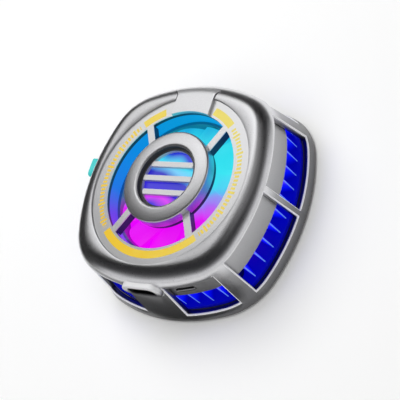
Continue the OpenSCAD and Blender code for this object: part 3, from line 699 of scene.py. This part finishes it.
def slot_bar(name, width, height, near, far, z):
    """A bar along Y with round ends in X as a new piece."""
    piece = start(name)
    half = (width - height) / 2
    draw([(-half, near, z - height / 2), (half, near, z - height / 2)])
    turn(-math.pi, (half, near, z), 20, (0, 1, 0))
    bpy.ops.mesh.extrude_vertices_move(TRANSFORM_OT_translate={"value": (-2 * half, 0, 0)})
    turn(-math.pi, (-half, near, z), 20, (0, 1, 0))
    bpy.ops.mesh.select_all(action="SELECT")
    bpy.ops.mesh.remove_doubles(threshold=merge_reach)
    bpy.ops.mesh.edge_face_add()
    bpy.ops.mesh.extrude_region_move(TRANSFORM_OT_translate={"value": (0, far - near, 0)})
    close(piece)
    return piece


def bridge_solid(name, gap, left_gap, end_angle, low, high):
    """The bridge's plan, grown by a gap and more at the left, with its bend between two heights."""
    inner_end = 19 * MM
    tool_height = 9 * MM
    piece = start(name)
    draw([(0, inner_end, bezel_level + high), (0, bezel_width, bezel_level + high)])
    turn(math.radians(end_angle - 90), (0, bezel_width, bezel_level), 12, (1, 0, 0))
    bpy.ops.mesh.select_all(action="SELECT")
    sweep = math.radians(12)
    bpy.ops.transform.rotate(
        value=sweep, orient_axis="Z", orient_type="GLOBAL", center_override=(0, -side_centre, 0)
    )
    turn(2 * sweep, (0, -side_centre, 0), 24)
    close(piece)
    apply(piece, "SOLIDIFY", thickness=high - low, offset=-1, use_even_offset=True)
    close(piece)
    half = 6.2 * MM + gap
    flare = 1.1 * MM
    flare_from = bezel_width - 1.2 * MM
    bend = [math.radians(9 * step) for step in range(11)]
    side = [(half + flare * (1 - math.cos(a)), flare_from + 2 * flare * math.sin(a)) for a in bend]
    side = [(half, 0), *side, (half + flare, half_width)]
    outline = [(x, y, bezel_level - MM) for x, y in side]
    outline += [(-x - left_gap, y, z) for x, y, z in reversed(outline)]
    plan = start("plan")
    draw(outline)
    bpy.ops.mesh.select_all(action="SELECT")
    bpy.ops.mesh.edge_face_add()
    bpy.ops.mesh.extrude_region_move(TRANSFORM_OT_translate={"value": (0, 0, tool_height)})
    close(plan)
    combine(piece, plan, "INTERSECT")
    opening = round_bar(
        "opening", opening_radius - gap, bezel_level - 2 * MM, bezel_level + tool_height, 128
    )
    combine(piece, opening, "DIFFERENCE")
    return piece


ring_low, ring_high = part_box("face_ring")
opening_radius = ring_high.x - 4.6 * MM
screw_head = 1.5 * MM
post_radius = 2.2 * MM
post_foot = shell_low.z + 1.5 * MM
post_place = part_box("cover_screws")[1].x - screw_head
for post_x in (-post_place, post_place):
    for post_y in (-post_place, post_place):
        post = round_bar("post", post_radius, post_foot, shell_high.z - MM, 32, (post_x, post_y))
        combine(housing, post, "UNION")
frame_low, frame_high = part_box("socket_frame")
socket_level = (frame_low.z + frame_high.z) / 2
socket_wide = frame_high.x - frame_low.x
socket_tall = frame_high.z - frame_low.z
hole_depth = 9 * MM
socket_hole = slot_bar(
    "socket_hole", socket_wide, socket_tall, -half_width - MM, hole_depth - half_width, socket_level
)
combine(housing, socket_hole, "DIFFERENCE")
bridge_under = bezel_round - 0.6 * MM
bridge_gap = 0.2 * MM
bridge_left_gap = 0.3 * MM
bridge_end = 64
recess_rise = 9 * MM
bridge_recess = bridge_solid(
    "bridge_recess", bridge_gap, bridge_left_gap, bridge_end - 1, bridge_under, recess_rise
)
combine(housing, bridge_recess, "DIFFERENCE")


def outline_width(x, y):
    """Half the width of the bowed outline that passes through a point."""
    across, along = max(abs(x), abs(y)), min(abs(x), abs(y))
    if along < (across + side_centre) * math.tan(seam_angle):
        return math.hypot(across + side_centre, along) - side_centre
    return math.hypot(across - corner_centre, along - corner_centre) + bow_gap - side_centre


def on_window_edge(co):
    """True for a place on the outside of the wall, at the foot or the sides of a window."""
    height_slack = 0.02 * MM
    width_slack = 0.04 * MM
    top = end_window_top if abs(co.y) > abs(co.x) else window_top
    if not rim_top - height_slack < co.z < top + height_slack:
        return False
    width = wall_width(co.z)
    if co.z > arc_start[2]:
        width = bezel_width + math.sqrt(bezel_round ** 2 - (co.z - bezel_level) ** 2)
    return abs(outline_width(co.x, co.y) - width) < width_slack


sharp_angle = math.radians(42)
bpy.ops.object.mode_set(mode="EDIT")
bpy.ops.mesh.select_mode(type="EDGE")
bpy.ops.mesh.select_all(action="DESELECT")
bpy.ops.mesh.edges_select_sharp(sharpness=sharp_angle)
bpy.ops.object.mode_set(mode="OBJECT")
shell_points = [vertex.co.copy() for vertex in housing.data.vertices]
window_edges = []
for edge in housing.data.edges:
    ends = [shell_points[index] for index in edge.vertices]
    level = abs(ends[0].z - ends[1].z) < 0.1 * MM and ends[0].z > rim_top + MM
    window_edges.append(edge.select and not level and all(on_window_edge(end) for end in ends))
for part in (housing.data.vertices, housing.data.polygons):
    part.foreach_set("select", [False] * len(part))
housing.data.edges.foreach_set("select", window_edges)
bpy.ops.object.mode_set(mode="EDIT")
bpy.ops.mesh.bevel(offset=0.38 * MM, segments=2, affect="EDGES")
bpy.ops.object.mode_set(mode="OBJECT")
# The window edges' faces are marked to take a painted highlight.
painted_highlight_edge = housing.data.attributes.new("painted_highlight_edge", "FLOAT", "FACE")
painted_highlight_edge.data.foreach_set("value", [float(face.select) for face in housing.data.polygons])
apply(housing, "BEVEL", width=0.22 * MM, segments=2, limit_method="ANGLE", angle_limit=sharp_angle)
smooth(housing)
# The coat is painted dark at the rear rim and light at the bezel as shade.
shell_silver = silver_coat(
    "shell_silver", 0.25, [(0, 0.15), (3, 0.20), (8, 0.23), (13, 0.36), (16.5, 0.70), (18, 0.78)]
)
finish_piece(housing, "housing", shell_silver, "housing_silver", "front_shell")


# Bridge
# A flat moulded strip that is clipped into the bezel, with flared sides where it bends down.
def soft_edges(piece, width, segments=2):
    """Rounds a piece's sharp edges and shades it smoothly."""
    apply(
        piece, "BEVEL", width=width, segments=segments, limit_method="ANGLE",
        angle_limit=math.radians(30),
    )
    smooth(piece)
    apply(piece, "WEIGHTED_NORMAL", keep_sharp=True)


bridge_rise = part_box("top_bridge")[1].z - bezel_level
bridge = bridge_solid("bridge", 0.0, 0.0, bridge_end, bridge_under, bridge_rise)
soft_edges(bridge, 0.12 * MM)
# The coat is painted darker down the bend as shade.
bridge_silver = silver_coat("bridge_silver", 0.26, [(16, 0.52), (20, 0.75)], 0.75)
finish_piece(bridge, "housing", bridge_silver, "face_pale", "top_bridge")


# Face ring
# A moulded ring with four leaning spokes and a collar for the hub. Its top is coated pale grey and
# printed in yellow: one long arc, two dashes beside the bridge, and dial ticks along both sides. Its
# sides are painted dark blue as shade, tinted with the lamps' blue.
ring_slip = 0.1 * MM
ring_thick = 1.2 * MM
ring_radius = seat_radius - ring_slip
ring_top = ring_high.z
ring_under = ring_top - ring_thick
spoke_under = ring_low.z
hub_low, hub_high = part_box("hub_ring")
hub_radius = hub_high.x


def lathe(name, profile, steps=144):
    """A closed profile of radius and height, spun right round, as a new piece."""
    piece = start(name)
    draw([(radius, 0, height) for radius, height in (*profile, profile[0])])
    bpy.ops.mesh.select_all(action="SELECT")
    bpy.ops.mesh.remove_doubles(threshold=merge_reach)
    turn(2 * math.pi, (0, 0, 0), steps)
    close(piece)
    return piece


face_ring = lathe(
    "face_ring",
    [
        (opening_radius, ring_under),
        (ring_radius, ring_under),
        (ring_radius, ring_top),
        (opening_radius, ring_top),
    ],
)
spoke_width = 2.1 * MM
spoke_root = 1.2 * MM
spoke_tip = 0.9 * MM
inner_angle = math.radians(45)
outer_angle = math.radians(50.5)
spoke_from = Vector((math.cos(inner_angle), math.sin(inner_angle))) * hub_radius
spoke_to = Vector((math.cos(outer_angle), math.sin(outer_angle))) * opening_radius
spoke_run = (spoke_to - spoke_from).normalized()
spoke_side = Vector((-spoke_run.y, spoke_run.x)) * spoke_width / 2
guide_inner = opening_radius - 0.05 * MM
guide_outer = opening_radius + 4 * MM
for mirror_x in (1, -1):
    for mirror_y in (1, -1):
        spoke = start("spoke")
        corners = [
            spoke_from - spoke_run * spoke_root + spoke_side,
            spoke_from - spoke_run * spoke_root - spoke_side,
            spoke_to + spoke_run * spoke_tip - spoke_side,
            spoke_to + spoke_run * spoke_tip + spoke_side,
        ]
        draw([(corner.x * mirror_x, corner.y * mirror_y, spoke_under) for corner in corners])
        bpy.ops.mesh.select_all(action="SELECT")
        bpy.ops.mesh.edge_face_add()
        bpy.ops.mesh.extrude_region_move(
            TRANSFORM_OT_translate={"value": (0, 0, ring_top - spoke_under)}
        )
        close(spoke)
        guide_space = lathe(
            "guide_space",
            [
                (guide_inner, spoke_under - MM),
                (guide_outer, spoke_under - MM),
                (guide_outer, ring_under),
                (guide_inner, ring_under),
            ],
        )
        combine(spoke, guide_space, "DIFFERENCE")
        combine(face_ring, spoke, "UNION")
collar_inner = hub_radius - 5.2 * MM
collar_outer = hub_radius - 0.2 * MM
collar = lathe(
    "collar",
    [
        (collar_inner, spoke_under),
        (collar_outer, spoke_under),
        (collar_outer, ring_under),
        (collar_inner, ring_under),
    ],
)
combine(face_ring, collar, "UNION")
hub_space = round_bar("hub_space", hub_radius + 0.03 * MM, ring_under, ring_top + MM, 144)
combine(face_ring, hub_space, "DIFFERENCE")
soft_edges(face_ring, 0.12 * MM)

print_depth = 0.03 * MM
coat_depth = 0.22 * MM
band_inner = 20.7 * MM
band_outer = 22.9 * MM
tick_inner = 21.1 * MM
tick_outer = 22.5 * MM
printed_face, print_sockets, print_place = new_finish("printed_face")
print_grain = grain(print_place, 0.25 * MM, 3.0)
print_x, print_y, print_z = axes(print_place)
print_turn = print_y.math("ARCTAN2", print_y, print_x) * (180 / math.pi)
print_square = print_x * print_x + print_y * print_y
print_radius = print_square.math("SQRT", print_square)
print_top = print_z > ring_top - print_depth
print_band = between(print_radius, band_inner, band_outer)
long_arc = between(print_turn, -133.6, -46.7)
left_dash = between(print_turn, 114, 133)
right_dash = between(print_turn, 48, 70)
long_marks = long_arc + left_dash + right_dash
right_ticks = between(print_turn, -43.5, 45)
left_ticks = (print_turn > 136.5) + (print_turn < -137)
tick_sides = right_ticks + left_ticks
tick_pitch = 3
tick_turn = print_turn / tick_pitch
tick_part = tick_turn.math("FRACT", tick_turn)
five_turn = print_turn / (5 * tick_pitch)
five_part = five_turn.math("FRACT", five_turn)
ticks = between(tick_part, 0.2, 0.8) * between(print_radius, tick_inner, tick_outer)
long_ticks = between(five_part, 0.44, 0.56) * print_band
tick_marks = tick_sides * ticks.math("MAXIMUM", ticks, long_ticks)
printed = print_top * (long_marks * print_band + tick_marks)
printed = printed.math("MINIMUM", printed, 1.0)
# The yellow shifts at random in patches and is painted paler towards +X and +Y as light.
print_patches_and_light = (print_x + print_y) / (85 * MM) + 0.2 + 0.5 * grain(print_place, 5 * MM)
print_patches_and_light = print_patches_and_light.node("ShaderNodeClamp", {0: print_patches_and_light})
print_yellow_lit = blend(print_patches_and_light, (0.82, 0.52, 0.006, 1), (0.80, 0.71, 0.17, 1))
pale_coat = blend(print_grain, (0.68, 0.68, 0.69, 1), (0.76, 0.76, 0.77, 1))
# Below the coat the sides are painted dark blue as shade.
painted_shade_side = print_z < ring_top - coat_depth
painted_shade_blue = blend(print_grain, (0.014, 0.035, 0.095, 1), (0.022, 0.050, 0.125, 1))
coated = blend(printed, pale_coat, print_yellow_lit)
blend(painted_shade_side, coated, painted_shade_blue).into(print_sockets["Base Color"])
(0.65 * (1 - printed) * (1 - painted_shade_side)).into(print_sockets["Metallic"])
(0.26 + 0.10 * print_grain + 0.25 * printed).into(print_sockets["Roughness"])
bump(print_grain, 0.012 * MM, 0.4).into(print_sockets["Normal"])
finish_piece(face_ring, "housing", printed_face, "face_pale", "face_ring")


# Hub ring
# A turned ring that sits on the collar: a shallow domed top with a silver coat, a tight outer edge
# and a chamfered bore that is painted dark as shade in the hollow.
hub_bore = 8.9 * MM
hub_edge = 0.6 * MM
hub_dome = 22 * MM
hub_chamfer = (0.5 * MM, 0.3 * MM)
dome_radius = hub_bore + hub_chamfer[0]
dome_level = hub_high.z - hub_dome
edge_radius = hub_radius - hub_edge
hub_lean = math.acos((edge_radius - dome_radius) / (hub_dome - hub_edge))
edge_level = dome_level + (hub_dome - hub_edge) * math.sin(hub_lean)
hub = start("hub_ring")
draw([(hub_bore, 0, hub_low.z), (hub_radius, 0, hub_low.z), (hub_radius, 0, edge_level)])
turn(-hub_lean, (edge_radius, 0, edge_level), 10, (0, 1, 0))
turn(hub_lean - math.pi / 2, (dome_radius, 0, dome_level), 12, (0, 1, 0))
bpy.ops.mesh.extrude_vertices_move(
    TRANSFORM_OT_translate={"value": (-hub_chamfer[0], 0, -hub_chamfer[1])}
)
bpy.ops.mesh.extrude_vertices_move(
    TRANSFORM_OT_translate={"value": (0, 0, hub_low.z - hub_high.z + hub_chamfer[1])}
)
bpy.ops.mesh.select_all(action="SELECT")
bpy.ops.mesh.remove_doubles(threshold=merge_reach)
turn(2 * math.pi, (0, 0, 0), 160)
close(hub)
smooth(hub)
# The coat is painted darker towards the foot of the dome as shade.
hub_silver = silver_coat("hub_silver", 0.32, [(18, 0.74), (21, 0.92)], 0.97)
finish_piece(hub, "housing", hub_silver, "hub_silver", "hub_ring")


def paint_dark_shade(piece, test):
    """Paints a piece's faces dark as shade, in the dark moulding, where their distance from the axis
    passes a test.
    """
    piece.data.materials.append(dark_moulding)
    for face in piece.data.polygons:
        face.material_index = int(test(face.center.xy.length))


paint_dark_shade(hub, lambda radius: radius < hub_bore + 0.02 * MM)


# Hub lens and grille
# A diffuser with the lamps' colours, held in the bore behind a plain moulded grille of three pale
# bars on a rim that is painted dark as shade.
lit_lens, lens_sockets, lens_place = new_finish("lit_lens", Roughness=0.2, Emission_Strength=0.95)
lens_x, lens_y, _ = axes(lens_place)
lens_swirl = grain(lens_place, 7 * MM, 0.0)
lens_along = (lens_y + 0.25 * lens_x + 5 * MM * (lens_swirl - 0.5)) / (18 * MM) + 0.5
lens_along.node(
    "ShaderNodeValToRGB",
    {0: lens_along},
    stops=[
        (0.02, (0.020, 0.000, 0.640)),
        (0.14, (0.700, 0.020, 0.860)),
        (0.26, (0.020, 0.000, 0.640)),
        (0.50, (0.000, 0.000, 0.480)),
        (0.64, (0.150, 0.600, 0.900)),
        (0.76, (0.040, 0.700, 0.860)),
        (0.90, (0.000, 0.020, 0.600)),
    ],
).into(lens_sockets["Emission Color"])
blend(lens_swirl, (0.02, 0.02, 0.06, 1), (0.04, 0.04, 0.10, 1)).into(lens_sockets["Base Color"])
dress(lit_lens, "hub_lens")

grille_low, grille_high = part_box("hub_grille")
grille_radius = grille_high.x
grille_rim = 0.7 * MM
grille = lathe(
    "hub_grille",
    [
        (grille_radius - grille_rim, grille_low.z),
        (grille_radius, grille_low.z),
        (grille_radius, grille_high.z),
        (grille_radius - grille_rim, grille_high.z),
    ],
    96,
)
bar_pitch = (grille_radius - grille_rim) / 2
bar_half = 0.75 * MM
for bar_place in (-bar_pitch, 0, bar_pitch):
    bar_reach = math.sqrt((grille_radius - grille_rim / 2) ** 2 - (abs(bar_place) + bar_half) ** 2)
    bpy.ops.object.select_all(action="DESELECT")
    bpy.ops.mesh.primitive_cube_add(size=1)
    bar = bpy.context.object
    bpy.ops.object.mode_set(mode="EDIT")
    bpy.ops.transform.resize(value=(2 * bar_reach, 2 * bar_half, grille_high.z - grille_low.z))
    bpy.ops.transform.translate(value=(0, bar_place, (grille_low.z + grille_high.z) / 2))
    bpy.ops.object.mode_set(mode="OBJECT")
    combine(grille, bar, "UNION")
soft_edges(grille, 0.15 * MM, 3)
pale_face = grained_finish(
    "pale_face", 0.25 * MM, (0.60, 0.60, 0.61), (0.66, 0.66, 0.67), (0.34, 0.12),
    (0.012 * MM, 0.4), 3.0, Metallic=0.2,
)
finish_piece(grille, "housing", pale_face, "face_pale", "hub_grille")
paint_dark_shade(grille, lambda radius: radius > grille_radius - grille_rim)


# Socket and its frame
# A raised oval frame, moulded and pressed into the wall round a steel charging socket that is painted
# dark as shade in its hole. The frame's coat is pale on the upper lip and painted dark below as shade.
bore_wide = socket_wide - 3.1 * MM
bore_tall = socket_tall - 2.015 * MM
socket_frame = slot_bar(
    "socket_frame", socket_wide, socket_tall, frame_low.y, frame_high.y, socket_level
)
pick(socket_frame, lambda co: co.y < frame_low.y + 0.01 * MM)
bpy.ops.mesh.bevel(offset=0.35 * MM, segments=4, affect="EDGES")
bpy.ops.object.mode_set(mode="OBJECT")
socket_bore = slot_bar(
    "socket_bore", bore_wide, bore_tall, frame_low.y - MM, frame_high.y + MM, socket_level
)
combine(socket_frame, socket_bore, "DIFFERENCE")
soft_edges(socket_frame, 0.12 * MM)
frame_coat, coat_sockets, coat_place = new_finish("frame_coat", Metallic=0.15)
coat_grain = grain(coat_place, 0.28 * MM, 3.0)
frame_shade_rise = ease((axes(coat_place)[2] - frame_low.z) / socket_tall, 0.25, 0.7)
pale_lip = blend(coat_grain, (0.76, 0.76, 0.77, 1), (0.84, 0.84, 0.85, 1))
blend(frame_shade_rise, (0.10, 0.10, 0.105, 1), pale_lip).into(coat_sockets["Base Color"])
(0.3 + 0.1 * coat_grain).into(coat_sockets["Roughness"])
bump(coat_grain, 0.02 * MM, 0.35).into(coat_sockets["Normal"])
finish_piece(socket_frame, "housing", frame_coat, "housing_silver", "socket_frame")

# The socket's steel is painted near black as shade in its hole.
socket_shade_steel = grained_finish(
    "socket_shade_steel", 0.4 * MM, (0.05, 0.05, 0.055), (0.09, 0.09, 0.095), (0.3, 0.15), Metallic=1.0
)
dress(socket_shade_steel, "socket_shell")


# Keys
# The mode key is a bar with a pale line, painted dark above and below it as the shade of its slot,
# in a slot beside the socket. The light key is a clear teal cap on the left side, with a painted glow.
# Each slides in its wall and rests on its switch.
key_low, key_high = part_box("mode_key")
line_foot = 0.36
line_top = 0.66
dark_key, key_sockets, key_place = new_finish("dark_key", Metallic=0.6)
key_grain = grain(key_place, 0.25 * MM)
key_rise = (axes(key_place)[2] - key_low.z) / (key_high.z - key_low.z)
key_shade_tone = blend(key_grain, (0.020, 0.020, 0.022, 1), (0.035, 0.035, 0.037, 1))
key_line = between(key_rise, line_foot, line_top)
blend(key_line, key_shade_tone, (0.42, 0.42, 0.43, 1)).into(key_sockets["Base Color"])
(0.35 + 0.15 * key_grain).into(key_sockets["Roughness"])
dress(dark_key, "mode_key")

clear_teal, teal_sockets, teal_place = new_finish("clear_teal", Roughness=0.25, Emission_Strength=0.35)
teal_wash = grain(teal_place, 2 * MM)
blend(teal_wash, (0.03, 0.38, 0.38, 1), (0.08, 0.52, 0.50, 1)).into(teal_sockets["Base Color"])
blend(teal_wash, (0.02, 0.45, 0.46, 1), (0.08, 0.62, 0.60, 1)).into(teal_sockets["Emission Color"])
dress(clear_teal, "light_key")


# Last update
# The view layer takes in the dressed pieces.
bpy.context.view_layer.update()
